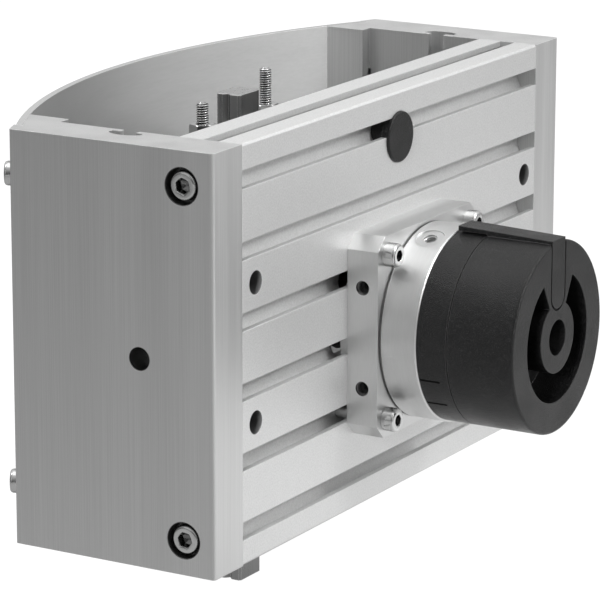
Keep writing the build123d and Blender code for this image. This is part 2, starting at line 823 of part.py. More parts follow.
# Square flange with its spigot in the plate bore and the front bearing in its boss
def make_drive_flange():
    half = flange_width / 2
    flange = block(-half, half, -flange_thickness, 0, drive_axis_z - half, drive_axis_z + half)
    flange = chamfer(flange.edges().filter_by(Axis.Y), flange_chamfer)
    flange += rod_y(plate_bore - 2 * spigot_gap, 0, spigot_length)
    flange += rod_y(front_boss_diameter, spigot_length, front_boss_length)
    flange -= rod_y(shaft_diameter + 2 * joint_gap, -flange_thickness, front_boss_length)
    flange -= rod_y(bearing_diameter, front_boss_length - bearing_width, front_boss_length)
    flange -= rod_y(bearing_diameter, -flange_thickness, seal_width - flange_thickness)
    for x, z in flange_screw_places():
        flange -= rod_y(clearance_hole(m4_screw), -flange_thickness, 0, x, z)
    middle = -flange_thickness / 2
    for side in (-1, 1):
        inner, outer = sorted((side * half, side * (half - flange_side_depth)))
        for level in (-1, 1):
            z = drive_axis_z + level * flange_side_pitch / 2
            flange -= rod_x(flange_side_thread, inner, outer, middle, z)
    for x, z in barrel_screw_places():
        flange -= rod_y(clearance_hole(m3_screw), -flange_thickness, spigot_length, x, z)
        flange -= rod_y(rail_head_diameter, spigot_length - head_seat, spigot_length, x, z)
    return flange


def barrel_screw_places():
    radius = barrel_screw_circle / 2
    return [(radius * cos(radians(angle)), drive_axis_z + radius * sin(radians(angle)))
            for angle in (0, 90, 180, 270)]


# Round barrel of the drive: the vane chamber, the two air ports and the rear bearing boss
def make_drive_barrel():
    barrel = rod_y(barrel_diameter, barrel_front, -flange_thickness)
    barrel = chamfer(barrel.edges().group_by(Axis.Y)[0], barrel_chamfer)
    undercut_front = -flange_thickness - barrel_undercut
    undercut = rod_y(barrel_diameter + 2 * barrel_undercut, undercut_front, -flange_thickness)
    barrel -= undercut - rod_y(barrel_diameter - 2 * barrel_undercut, undercut_front, -flange_thickness)
    barrel += rod_y(rear_boss_diameter, rear_boss_front, barrel_front)
    barrel -= rod_y(chamber_diameter, chamber_back, -flange_thickness)
    barrel -= rod_y(shaft_diameter + 2 * joint_gap, rear_boss_front, -flange_thickness)
    barrel -= rod_y(bearing_diameter, rear_boss_front, rear_boss_front + bearing_width)
    port_y = (barrel_front - flange_thickness) / 2
    radius = barrel_diameter / 2
    for side in (-1, 1):
        direction = Vector(side * sin(radians(port_angle)), 0, cos(radians(port_angle)))
        surface = Vector(0, port_y, drive_axis_z) + direction * radius
        port = drilled(port_thread, radius - chamber_diameter / 2 + thread_runout)
        spotface = Pos(0, 0, thread_runout) * drilled(port_spotface, port_spotface_depth + thread_runout)
        barrel -= facing(surface, direction) * (port + spotface)
    for x, z in barrel_screw_places():
        barrel -= rod_y(m3_screw[0], -flange_thickness - barrel_thread_depth, -flange_thickness, x, z)
    return barrel


def make_barrel_screws():
    places = [((x, spigot_length - head_seat, z), (0, 1, 0)) for x, z in barrel_screw_places()]
    return socket_screws(m3_screw, barrel_screw_length, places)


def make_flange_screws():
    places = [((x, -flange_thickness, z), (0, -1, 0)) for x, z in flange_screw_places()]
    return socket_screws(m4_screw, flange_thickness + flange_screw_length, places)


def make_bearing(y0):
    bearing = rod_y(bearing_diameter, y0, y0 + bearing_width)
    return bearing - rod_y(shaft_diameter + 2 * running_gap, y0, y0 + bearing_width)


def make_shaft_seal():
    y0 = -flange_thickness
    seal = rod_y(bearing_diameter, y0 + head_sink, y0 + seal_width)
    return seal - rod_y(shaft_diameter + 2 * running_gap, y0 + head_sink, y0 + seal_width)


# Vane on the shaft, and the fixed separator that splits the chamber
def make_vane():
    gap = joint_gap
    y0 = chamber_back + gap
    y1 = -flange_thickness - gap
    reach = chamber_diameter / 2 - gap
    vane = rod_y(vane_hub_diameter, y0, y1)
    vane += block(-vane_thickness / 2, vane_thickness / 2, y0, y1, drive_axis_z,
                  drive_axis_z + reach - vane_seal_height)
    return vane - rod_y(shaft_diameter, y0, y1)


def make_vane_seal():
    gap = joint_gap
    y0 = chamber_back + gap
    y1 = -flange_thickness - gap
    reach = chamber_diameter / 2 - gap
    seal = rod_y(2 * reach, y0, y1) & block(
        -vane_thickness / 2, vane_thickness / 2, y0, y1,
        drive_axis_z + reach - vane_seal_height, drive_axis_z + reach)
    return seal


def make_separator():
    ring = rod_y(chamber_diameter, chamber_back, -flange_thickness)
    ring -= rod_y(vane_hub_diameter + 2 * joint_gap, chamber_back, -flange_thickness)
    reach = chamber_diameter
    spread = reach * sin(radians(separator_angle / 2))
    drop = reach * cos(radians(separator_angle / 2))
    wedge_face = make_face(Polyline((0, 0), (spread, -drop), (-spread, -drop), (0, 0)))
    plane = Plane(origin=(0, -flange_thickness, drive_axis_z), x_dir=(1, 0, 0), z_dir=(0, -1, 0))
    return ring & extrude(plane * wedge_face, chamber_depth)


# Black collar on the rear boss of the barrel
def make_scale_collar():
    collar = rod_y(collar_diameter, collar_front, barrel_front)
    collar -= rod_y(rear_boss_diameter + 2 * spigot_gap, collar_front, barrel_front)
    pocket = rod_y(collar_diameter - 2 * collar_wall, collar_front, barrel_front - collar_wall)
    pocket -= rod_y(rear_boss_diameter + 2 * collar_wall, collar_front, barrel_front - collar_wall)
    return collar - pocket


# Indicator cap: a moulded cup with an annular recess, a hub, one spoke and the pointer rib
def make_indicator_cap():
    radius = collar_diameter / 2
    cap = rod_y(collar_diameter, cap_front, cap_back)
    cap = fillet(cap.edges().group_by(Axis.Y)[0], cap_edge)
    floor_front = cap_front + cap_recess_depth
    floor_back = floor_front + cap_wall
    recess = rod_y(cap_recess, cap_front, floor_front) - rod_y(cap_hub, cap_front, floor_front)
    spread = cap_recess * sin(radians(spoke_half_angle))
    rise = cap_recess * cos(radians(spoke_half_angle))
    wedge_face = make_face(Polyline((0, 0), (spread, rise), (-spread, rise), (0, 0)))
    plane = Plane(origin=(0, floor_front, drive_axis_z), x_dir=(1, 0, 0), z_dir=(0, -1, 0))
    recess -= extrude(plane * wedge_face, cap_recess_depth)
    cap -= recess
    cup = rod_y(collar_diameter - 2 * cap_wall, cap_front + cap_wall, cap_back)
    cup -= rod_y(cap_recess + 2 * cap_wall, cap_front + cap_wall, floor_back)
    cap -= cup
    cap += rod_y(cap_hub, floor_back, cap_back)
    cap -= rod_y(cap_hole, cap_front, cap_front + cap_hole_depth)
    cap -= rod_y(clearance_hole(m4_screw), cap_front, floor_front)
    cap -= rod_y(shaft_diameter + 2 * thread_gap, floor_front, cap_back)
    half = rib_width / 2
    rib_back = barrel_front - joint_gap
    surface = drive_axis_z + radius
    root = surface - 2 * cap_edge
    face_bottom = drive_axis_z + rib_inner_end + half
    side = make_face(Polyline(
        (rib_back, surface + joint_gap), (rib_back, surface + rib_back_height),
        (cap_front, surface + rib_front_height), (cap_front, root), (collar_front, root),
        (collar_front, surface + joint_gap), (rib_back, surface + joint_gap),
    ))
    rib = extrude(Plane.YZ * side, half, both=True)
    cleared = rib - rod_y(collar_diameter + 2 * joint_gap, collar_front - joint_gap, barrel_front)
    return cap + cleared - make_rib_groove(half, face_bottom, surface)


# The narrow groove that frames the pointer on the face of the cap
def make_rib_groove(half, bottom, top):
    back = cap_front + rib_groove_depth
    outer = block(-half - rib_groove, half + rib_groove, cap_front, back, bottom, top)
    outer += rod_y(2 * (half + rib_groove), cap_front, back, z=bottom)
    inner = block(-half, half, cap_front, back, bottom, top)
    return outer - (inner + rod_y(2 * half, cap_front, back, z=bottom))


def make_cap_screw():
    seat = cap_front + cap_hole_depth
    return facing((0, seat, drive_axis_z), (0, -1, 0)) * socket_screw(m4_screw, cap_screw_length)


def make_end_buffers():
    reach = horizontal_reach + slide_width / 2 + joint_gap
    left = rod_x(buffer_diameter, -half_plate, -reach, buffer_setback, horizontal_rail_z)
    left = fillet(left.edges().group_by(Axis.X)[-1], buffer_edge)
    left += rod_x(m3_screw[0] - 2 * thread_gap, -half_plate - buffer_stud, -half_plate,
                  buffer_setback, horizontal_rail_z)
    return group([left, mirror(left, about=Plane.YZ)])


left_end_plate = make_left_end_plate()
parts = {
    "drive_plate": make_drive_plate(),
    "left_end_plate": left_end_plate,
    "right_end_plate": mirror(left_end_plate, about=Plane.YZ),
    "curved_cover": make_curved_cover(),
    "cover_screws": make_cover_screws(),
    "end_plate_screws": make_end_plate_screws(),
    "blanking_plug": make_blanking_plug(),
    "cam_plate": make_cam_plate(),
    "cam_plate_screws": make_cam_plate_screws(),
    "horizontal_rail": make_horizontal_rail(),
    "horizontal_rail_screws": make_horizontal_rail_screws(),
    "end_buffers": make_end_buffers(),
    "drive_flange": make_drive_flange(),
    "flange_screws": make_flange_screws(),
    "drive_barrel": make_drive_barrel(),
    "barrel_screws": make_barrel_screws(),
    "front_bearing": make_bearing(front_boss_length - bearing_width),
    "rear_bearing": make_bearing(rear_boss_front),
    "shaft_seal": make_shaft_seal(),
    "chamber_separator": make_separator(),
    "scale_collar": make_scale_collar(),
    "drive_shaft": make_drive_shaft(),
    "vane": make_vane(),
    "vane_seal": make_vane_seal(),
    "drive_arm": make_drive_arm(),
    "arm_clamp_screw": make_arm_clamp_screw(),
    "indicator_cap": make_indicator_cap(),
    "cap_screw": make_cap_screw(),
    "horizontal_carriage": make_horizontal_carriage(),
    "horizontal_end_caps": make_horizontal_end_caps(),
    "carriage_plate": make_carriage_plate(),
    "carriage_plate_screws": make_carriage_plate_screws(),
    "left_cheek": make_cheek(-1),
    "right_cheek": make_cheek(1),
    "cheek_screws": make_cheek_screws(),
    "guide_plate": make_guide_plate(),
    "guide_plate_screws": make_guide_plate_screws(),
    "upper_guide_carriage": make_vertical_carriage(vertical_carriage_tops[0]),
    "lower_guide_carriage": make_vertical_carriage(vertical_carriage_tops[1]),
    "vertical_end_caps": make_vertical_end_caps(),
    "stop_screws": make_stop_screws(),
    "lock_nuts": make_lock_nuts(),
    "vertical_rail": make_vertical_rail(),
    "driver_block": make_driver_block(),
    "driver_block_screws": make_driver_block_screws(),
    "driver_pin": make_driver_pin(),
    "cam_roller": make_cam_roller(),
}

os.makedirs("parts", exist_ok=True)
for name, shape in parts.items():
    export_step(shape, f"parts/{name}.step")
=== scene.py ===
import bpy
import bmesh
from math import cos, sin, pi, radians, sqrt, tau
from mathutils import Matrix, Vector


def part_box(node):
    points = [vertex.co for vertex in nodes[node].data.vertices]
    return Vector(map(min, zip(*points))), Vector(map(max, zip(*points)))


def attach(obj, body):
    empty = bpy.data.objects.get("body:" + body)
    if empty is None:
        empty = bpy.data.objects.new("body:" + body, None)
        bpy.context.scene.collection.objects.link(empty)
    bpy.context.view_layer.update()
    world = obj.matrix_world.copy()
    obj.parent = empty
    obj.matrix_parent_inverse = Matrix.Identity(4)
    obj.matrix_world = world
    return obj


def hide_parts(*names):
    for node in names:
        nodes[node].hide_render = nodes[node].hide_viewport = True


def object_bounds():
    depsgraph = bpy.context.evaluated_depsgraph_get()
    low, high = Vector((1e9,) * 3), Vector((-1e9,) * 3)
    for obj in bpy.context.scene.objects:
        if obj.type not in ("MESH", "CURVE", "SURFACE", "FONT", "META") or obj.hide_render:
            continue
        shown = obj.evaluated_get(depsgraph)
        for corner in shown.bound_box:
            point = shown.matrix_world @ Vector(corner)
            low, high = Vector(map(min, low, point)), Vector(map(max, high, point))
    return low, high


# Looks of the pick and place handling module, in metres, in the frame of its solids
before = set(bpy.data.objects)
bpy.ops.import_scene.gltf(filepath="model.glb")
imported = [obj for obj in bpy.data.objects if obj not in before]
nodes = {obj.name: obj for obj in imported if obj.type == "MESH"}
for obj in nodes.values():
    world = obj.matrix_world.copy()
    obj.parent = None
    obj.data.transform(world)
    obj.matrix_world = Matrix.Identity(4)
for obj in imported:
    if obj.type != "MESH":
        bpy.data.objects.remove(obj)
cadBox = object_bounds()
mm = 0.001
print("solids loaded:", len(nodes), "nodes")


# Small helpers for node trees
def addNode(tree, kind, **settings):
    node = tree.nodes.new(kind)
    for name, value in settings.items():
        setattr(node, name, value)
    return node


def put(tree, socket, value):
    if isinstance(value, bpy.types.NodeSocket):
        tree.links.new(value, socket)
    else:
        socket.default_value = value


def calc(tree, operation, *values):
    node = addNode(tree, "ShaderNodeMath", operation=operation)
    for socket, value in zip(node.inputs, values):
        put(tree, socket, value)
    return node.outputs[0]


def calcVector(tree, operation, *values, result=0):
    node = addNode(tree, "ShaderNodeVectorMath", operation=operation)
    for socket, value in zip(node.inputs, values):
        put(tree, socket, value)
    return node.outputs[result]


def scaleVector(tree, vector, factor):
    node = addNode(tree, "ShaderNodeVectorMath", operation="SCALE")
    put(tree, node.inputs[0], vector)
    put(tree, node.inputs["Scale"], factor)
    return node.outputs[0]


def splitVector(tree, vector):
    node = addNode(tree, "ShaderNodeSeparateXYZ")
    put(tree, node.inputs[0], vector)
    return node.outputs


def remap(tree, value, low, high, toLow=0.0, toHigh=1.0):
    node = addNode(tree, "ShaderNodeMapRange", interpolation_type="SMOOTHSTEP")
    for index, item in enumerate((value, low, high, toLow, toHigh)):
        put(tree, node.inputs[index], item)
    return node.outputs[0]


def grey(level):
    return (level, level, level)


# Mixes two colours, each a triple or a socket
def mixColour(tree, factor, first, second):
    node = addNode(tree, "ShaderNodeMix", data_type="RGBA")
    put(tree, node.inputs[0], factor)
    for socket, colour in ((node.inputs[6], first), (node.inputs[7], second)):
        put(tree, socket, (*colour, 1.0) if isinstance(colour, tuple) else colour)
    return node.outputs[2]


def noise(tree, vector, detail=3.0, roughness=0.6):
    node = addNode(tree, "ShaderNodeTexNoise", noise_dimensions="3D")
    put(tree, node.inputs["Vector"], vector)
    put(tree, node.inputs["Scale"], 1.0)
    put(tree, node.inputs["Detail"], detail)
    put(tree, node.inputs["Roughness"], roughness)
    return node.outputs["Fac"]


def newGroup(name, kind, inputs, outputs):
    tree = bpy.data.node_groups.new(name, kind)
    for label, socketType, value in inputs:
        socket = tree.interface.new_socket(label, in_out="INPUT", socket_type=socketType)
        if value is not None:
            socket.default_value = value
    for label, socketType in outputs:
        tree.interface.new_socket(label, in_out="OUTPUT", socket_type=socketType)
    return tree, addNode(tree, "NodeGroupInput"), addNode(tree, "NodeGroupOutput")


# Shared shader groups
noiseMiddle = (0.3, 0.7)  # where most of a noise lies, stretched to the whole range
edgeLikeness = (0.995, 0.86)  # of the rounded normal to the face's own: on the flat, on the edge
moulding = {"cellScale": 0.9, "grainHeight": 0.7, "cellHeight": 0.4, "specks": (0.5, 0.72),
            "cloudScale": 90.0}


def makeBrushedGroup():
    tree, start, end = newGroup(
        "brushedLines", "ShaderNodeTree",
        [("Vector", "NodeSocketVector", None), ("Stretch", "NodeSocketVector", (1.0, 1.0, 1.0)),
         ("Coarse", "NodeSocketFloat", 0.2)],
        [("Line", "NodeSocketFloat"), ("Band", "NodeSocketFloat")])
    stretched = calcVector(tree, "MULTIPLY", start.outputs["Vector"], start.outputs["Stretch"])
    fine = noise(tree, stretched, detail=4.0, roughness=0.7)
    band = noise(tree, scaleVector(tree, stretched, start.outputs["Coarse"]), detail=2.0)
    put(tree, end.inputs["Line"], remap(tree, fine, *noiseMiddle))
    put(tree, end.inputs["Band"], remap(tree, band, *noiseMiddle))
    return tree


def makeEdgeGroup():
    tree, start, end = newGroup(
        "softEdges", "ShaderNodeTree", [("Radius", "NodeSocketFloat", 0.3 * mm)],
        [("Edge", "NodeSocketFloat"), ("Normal", "NodeSocketVector")])
    bevel = addNode(tree, "ShaderNodeBevel", samples=6)
    put(tree, bevel.inputs["Radius"], start.outputs["Radius"])
    geometry = addNode(tree, "ShaderNodeNewGeometry")
    likeness = calcVector(tree, "DOT_PRODUCT", bevel.outputs[0], geometry.outputs["Normal"], result=1)
    put(tree, end.inputs["Edge"], remap(tree, likeness, *edgeLikeness))
    put(tree, end.inputs["Normal"], bevel.outputs[0])
    return tree


def makeSpeckleGroup():
    tree, start, end = newGroup(
        "mouldedGrain", "ShaderNodeTree",
        [("Vector", "NodeSocketVector", None), ("Grain", "NodeSocketFloat", 2600.0)],
        [("Height", "NodeSocketFloat"), ("Speck", "NodeSocketFloat"), ("Cloud", "NodeSocketFloat")])
    fine = scaleVector(tree, start.outputs["Vector"], start.outputs["Grain"])
    grain = noise(tree, fine, detail=2.0, roughness=0.55)
    cells = addNode(tree, "ShaderNodeTexVoronoi", feature="F1")
    put(tree, cells.inputs["Vector"], fine)
    put(tree, cells.inputs["Scale"], moulding["cellScale"])
    cellHeight = calc(tree, "MULTIPLY", cells.outputs["Distance"], moulding["cellHeight"])
    wide = scaleVector(tree, start.outputs["Vector"], moulding["cloudScale"])
    put(tree, end.inputs["Height"], calc(tree, "MULTIPLY_ADD", grain, moulding["grainHeight"], cellHeight))
    put(tree, end.inputs["Speck"], remap(tree, grain, *moulding["specks"]))
    put(tree, end.inputs["Cloud"], remap(tree, noise(tree, wide), *noiseMiddle))
    return tree


brushedGroup = makeBrushedGroup()
edgeGroup = makeEdgeGroup()
speckleGroup = makeSpeckleGroup()


def placeGroup(tree, group, **inputs):
    node = addNode(tree, "ShaderNodeGroup", node_tree=group)
    for label, value in inputs.items():
        put(tree, node.inputs[label], value)
    return node


def newMaterial(name):
    material = bpy.data.materials.new(name)
    material.use_nodes = True
    tree = material.node_tree
    place = addNode(tree, "ShaderNodeTexCoord").outputs["Object"]
    return material, tree, tree.nodes["Principled BSDF"], place


# Lightens edges towards a colour that stands for painted highlights and wear
def wornColour(tree, colour, edges, look):
    wear = calc(tree, "MULTIPLY", edges.outputs["Edge"], look["wear"])
    return mixColour(tree, wear, colour, look["worn"])


def bumpNormal(tree, height, edges, strength, distance):
    bump = addNode(tree, "ShaderNodeBump")
    inputs = {"Strength": strength, "Distance": distance, "Height": height, "Normal": edges.outputs["Normal"]}
    for label, value in inputs.items():
        put(tree, bump.inputs[label], value)
    return bump.outputs["Normal"]


# Metal finishes: fine lines along one direction, soft bands, and edges lightened by painted highlights and
# wear
# The bore fade and grey paint shade inside bores; the root fade paints shade in thread roots and screw
# sockets
metalShade = {"tint": (1.0, 1.003, 1.0), "bumpHeight": 0.05 * mm, "specular": 0.5, "boreFade": (1.04, 1.01),
              "boreGrey": 0.2, "endFacing": (0.85, 0.98), "rootFade": (0.2, 0.8)}


# How far a point is inside one of the bores that get painted shade, which repeat in mirror image about a
# centre
def boreMask(tree, place, centre, bores):
    folded = calcVector(tree, "ABSOLUTE", calcVector(tree, "SUBTRACT", place, centre))
    mask = 0.0
    for middle, across, radius in bores:
        offset = calcVector(tree, "MULTIPLY", calcVector(tree, "SUBTRACT", folded, middle), across)
        reach = calcVector(tree, "LENGTH", offset, result=1)
        outer, inner = (radius * share for share in metalShade["boreFade"])
        mask = calc(tree, "MAXIMUM", mask, remap(tree, reach, outer, inner))
    return mask


def makeMetal(name, look):
    material, tree, shader, place = newMaterial(name)
    lines = placeGroup(tree, brushedGroup, Vector=place, Stretch=look["stretch"], Coarse=look["coarse"])
    edges = placeGroup(tree, edgeGroup, Radius=look["edge"])
    line = lines.outputs["Line"]
    band = calc(tree, "MULTIPLY", lines.outputs["Band"], look["bandShare"])
    blend = calc(tree, "MULTIPLY_ADD", line, look["lineShare"], band)
    colour = mixColour(tree, blend, look["dark"], look["light"])
    # Edges lightened: painted highlights and wear
    colour = wornColour(tree, colour, edges, look)
    if look["cutEnds"]:
        normal = splitVector(tree, addNode(tree, "ShaderNodeNewGeometry").outputs["Normal"])
        ends = remap(tree, calc(tree, "ABSOLUTE", normal[2]), *metalShade["endFacing"])
        colour = mixColour(tree, ends, colour, look["cutEnds"])
    # Painted shade inside the bores and the flange seam
    if look["bores"]:
        bored = boreMask(tree, place, look["boreCentre"], look["bores"])
        colour = mixColour(tree, bored, colour, grey(metalShade["boreGrey"]))
    # Painted shade in thread roots and screw sockets
    if look["darkRoots"]:
        root = addNode(tree, "ShaderNodeAttribute", attribute_name="root").outputs["Fac"]
        colour = mixColour(tree, remap(tree, root, *metalShade["rootFade"]), colour, look["darkRoots"])
    put(tree, shader.inputs["Base Color"], colour)
    put(tree, shader.inputs["Roughness"], remap(tree, blend, 0.0, 1.0, *look["roughness"]))
    put(tree, shader.inputs["Metallic"], look["metallic"])
    put(tree, shader.inputs["Specular IOR Level"], metalShade["specular"])
    normal = bumpNormal(tree, line, edges, look["bump"], metalShade["bumpHeight"])
    put(tree, shader.inputs["Normal"], normal)
    return material


def metalLook(level, roughness, stretch, **changes):
    spread = changes.pop("spread", 0.06)
    look = {"dark": tuple(level * share * (1 - spread) for share in metalShade["tint"]),
            "light": tuple(min(level * share * (1 + spread), 1.0) for share in metalShade["tint"]),
            "worn": grey(0.9), "wear": 0.35, "edge": 0.25 * mm, "bump": 0.08,
            "lineShare": 0.6, "bandShare": 0.4, "coarse": 0.15, "metallic": 1.0,
            "roughness": roughness, "stretch": stretch, "cutEnds": None, "darkRoots": None,
            "bores": (), "boreCentre": (0.0, 0.0, 0.0)}
    look.update(changes)
    return look


# Moulded finishes: a fine grain with paler specks, and a gloss that changes in soft clouds
mouldedBump = 0.2 * mm


def makePlastic(name, look):
    material, tree, shader, place = newMaterial(name)
    grain = placeGroup(tree, speckleGroup, Vector=place, Grain=look["grain"])
    edges = placeGroup(tree, edgeGroup, Radius=look["edge"])
    colour = mixColour(tree, grain.outputs["Speck"], look["colour"], look["speck"])
    # Edges lightened: painted highlights and wear
    put(tree, shader.inputs["Base Color"], wornColour(tree, colour, edges, look))
    put(tree, shader.inputs["Roughness"], remap(tree, grain.outputs["Cloud"], 0.0, 1.0, *look["roughness"]))
    put(tree, shader.inputs["Specular IOR Level"], look["gloss"])
    normal = bumpNormal(tree, grain.outputs["Height"], edges, look["bump"], mouldedBump)
    put(tree, shader.inputs["Normal"], normal)
    return material


# Lines to the metre in each direction
alongX = (12.0, 2400.0, 2400.0)
alongZ = (3000.0, 3000.0, 14.0)
roundY = (260.0, 2600.0, 260.0)
coverStreaks = (110.0, 900.0, 1400.0)
isotropic = (1900.0, 1900.0, 1900.0)

# Bores and a seam that get painted shade inside: middle, how each direction counts, radius
acrossX = (0.0, 1.0, 1.0)
acrossY = (1.0, 0.0, 1.0)
acrossHead = (0.3, 1.0, 1.0)
alongDrive = (0.0, 1.0, 0.0)
driveCentre = (0.0, 0.0, -7.0 * mm)
plateBores = [((81.0 * mm, 0.0, 20.0 * mm), acrossY, 3.3 * mm)]  # mounting holes
endBores = [
    ((0.0, 24.0 * mm, 0.0), acrossX, 3.3 * mm),  # side hole
    ((103.0 * mm, 10.0 * mm, 50.0 * mm), acrossHead, 5.25 * mm),  # counterbores
]
flangeBores = [
    ((0.0, 5.0 * mm, 15.0 * mm), acrossX, 2.1 * mm),  # tapped holes
    ((0.0, 10.3 * mm, 0.0), alongDrive, 0.22 * mm),  # seam between flange and barrel
]

finishes = {
    "profile": makeMetal("profileSatin", metalLook(
        0.76, (0.46, 0.54), isotropic, spread=0.1, bump=0.12, metallic=0.8, lineShare=0.8, bandShare=0.1,
        wear=0.0, edge=0.4 * mm, bores=plateBores)),
    "end_plate": makeMetal("endPlateBrushed", metalLook(
        0.76, (0.42, 0.52), alongZ, spread=0.09, bump=0.12, coarse=0.03, wear=0.8, edge=0.4 * mm,
        bores=endBores)),
    "cover_sheet": makeMetal("coverBrushed", metalLook(
        0.38, (0.36, 0.44), coverStreaks, bump=0.05, metallic=0.3, lineShare=0.5, bandShare=0.3)),
    "drive_aluminium": makeMetal("driveSatin", metalLook(
        0.78, (0.38, 0.44), roundY, bump=0.02, lineShare=0.3, bandShare=0.1, bores=flangeBores,
        boreCentre=driveCentre)),
    "slide_aluminium": makeMetal("slideSatin", metalLook(0.72, (0.36, 0.46), alongZ, bump=0.05)),
    "bright_screw": makeMetal("zincBright", metalLook(0.72, (0.09, 0.18), isotropic, bump=0.02)),
    "dark_screw": makeMetal("blackOxide", metalLook(0.09, (0.34, 0.48), isotropic, worn=grey(0.3))),
    "tool_steel": makeMetal("groundPlate", metalLook(0.46, (0.26, 0.38), alongX)),
    "guide_steel": makeMetal("groundGuide", metalLook(0.50, (0.20, 0.32), alongX, bump=0.05)),
    "rail_steel": makeMetal("darkRail", metalLook(
        0.38, (0.26, 0.36), alongZ, bump=0.06, wear=1.0, edge=0.45 * mm, cutEnds=grey(0.6))),
    "shaft_steel": makeMetal("groundShaft", metalLook(0.60, (0.14, 0.24), roundY, bump=0.03)),
    "bronze": makeMetal("sinteredBronze", metalLook(
        0.5, (0.4, 0.5), isotropic, dark=(0.36, 0.25, 0.13), light=(0.48, 0.34, 0.18),
        worn=(0.62, 0.46, 0.25))),
    "black_plastic": makePlastic("blackMoulding", {
        "colour": (0.001, 0.001, 0.0011), "speck": grey(0.012), "worn": grey(0.13), "wear": 0.15,
        "roughness": (0.28, 0.38), "gloss": 0.42, "bump": 0.9, "grain": 3100.0, "edge": 0.4 * mm}),
    "green_plastic": makePlastic("endCapMoulding", {
        "colour": (0.02, 0.021, 0.022), "speck": grey(0.03), "worn": grey(0.08), "wear": 0.4,
        "roughness": (0.4, 0.5), "gloss": 0.5, "bump": 0.2, "grain": 3200.0, "edge": 0.2 * mm}),
    "rubber": makePlastic("bufferRubber", {
        "colour": grey(0.012), "speck": grey(0.02), "worn": grey(0.04), "wear": 0.4,
        "roughness": (0.7, 0.85), "gloss": 0.3, "bump": 0.25, "grain": 3600.0, "edge": 0.3 * mm}),
}
# Both finishes paint shade into thread roots and screw sockets
threadFinish = makeMetal("threadBright", metalLook(
    0.62, (0.2, 0.3), isotropic, bump=0.04, darkRoots=grey(0.03)))
screwFinish = makeMetal("screwBright", metalLook(
    0.7, (0.09, 0.18), isotropic, bump=0.02, wear=0.7, darkRoots=grey(0.22)))
for part in nodes.values():
    for slot in part.material_slots:
        slot.material = finishes[slot.material.name.split(".")[0]]
print("finishes:", len(finishes))


# Geometry node helpers
def geometryTree(name, inputs):
    tree, start, end = newGroup(name, "GeometryNodeTree", inputs, [("Geometry", "NodeSocketGeometry")])
    tree.is_modifier = True
    return tree, start, end


def finishTree(tree, geometry, finish, end):
    realize = addNode(tree, "GeometryNodeRealizeInstances")
    put(tree, realize.inputs["Geometry"], geometry)
    paint = addNode(tree, "GeometryNodeSetMaterial")
    put(tree, paint.inputs["Geometry"], realize.outputs["Geometry"])
    put(tree, paint.inputs["Material"], finish)
    put(tree, end.inputs["Geometry"], paint.outputs["Geometry"])


def joinVector(tree, *values):
    node = addNode(tree, "ShaderNodeCombineXYZ")
    for socket, value in zip(node.inputs, values):
        put(tree, socket, value)
    return node.outputs[0]


# Copies one piece onto every seat, facing the way that the seat says, each turned by chance
def makeSeatingTree():
    tree, start, end = geometryTree("setOnSeats", [
        ("Seats", "NodeSocketGeometry", None), ("Piece", "NodeSocketObject", None),
        ("Finish", "NodeSocketMaterial", None), ("Seed", "NodeSocketInt", 0)])
    facing = addNode(tree, "GeometryNodeInputNamedAttribute", data_type="FLOAT_VECTOR")
    facing.inputs["Name"].default_value = "facing"
    align = addNode(tree, "FunctionNodeAlignRotationToVector", axis="Z")
    put(tree, align.inputs["Vector"], facing.outputs["Attribute"])
    chance = addNode(tree, "FunctionNodeRandomValue", data_type="FLOAT")
    put(tree, chance.inputs[3], tau)
    put(tree, chance.inputs["Seed"], start.outputs["Seed"])
    turn = addNode(tree, "FunctionNodeAxisAngleToRotation")
    turn.inputs["Axis"].default_value = (0.0, 0.0, 1.0)
    put(tree, turn.inputs["Angle"], chance.outputs[1])
    rotate = addNode(tree, "FunctionNodeRotateRotation", rotation_space="LOCAL")
    put(tree, rotate.inputs["Rotation"], align.outputs["Rotation"])
    put(tree, rotate.inputs["Rotate By"], turn.outputs["Rotation"])
    piece = addNode(tree, "GeometryNodeObjectInfo", transform_space="ORIGINAL")
    put(tree, piece.inputs["Object"], start.outputs["Piece"])
    place = addNode(tree, "GeometryNodeInstanceOnPoints")
    put(tree, place.inputs["Points"], start.outputs["Seats"])
    put(tree, place.inputs["Instance"], piece.outputs["Geometry"])
    put(tree, place.inputs["Rotation"], rotate.outputs["Rotation"])
    finishTree(tree, place.outputs["Instances"], start.outputs["Finish"], end)
    return tree


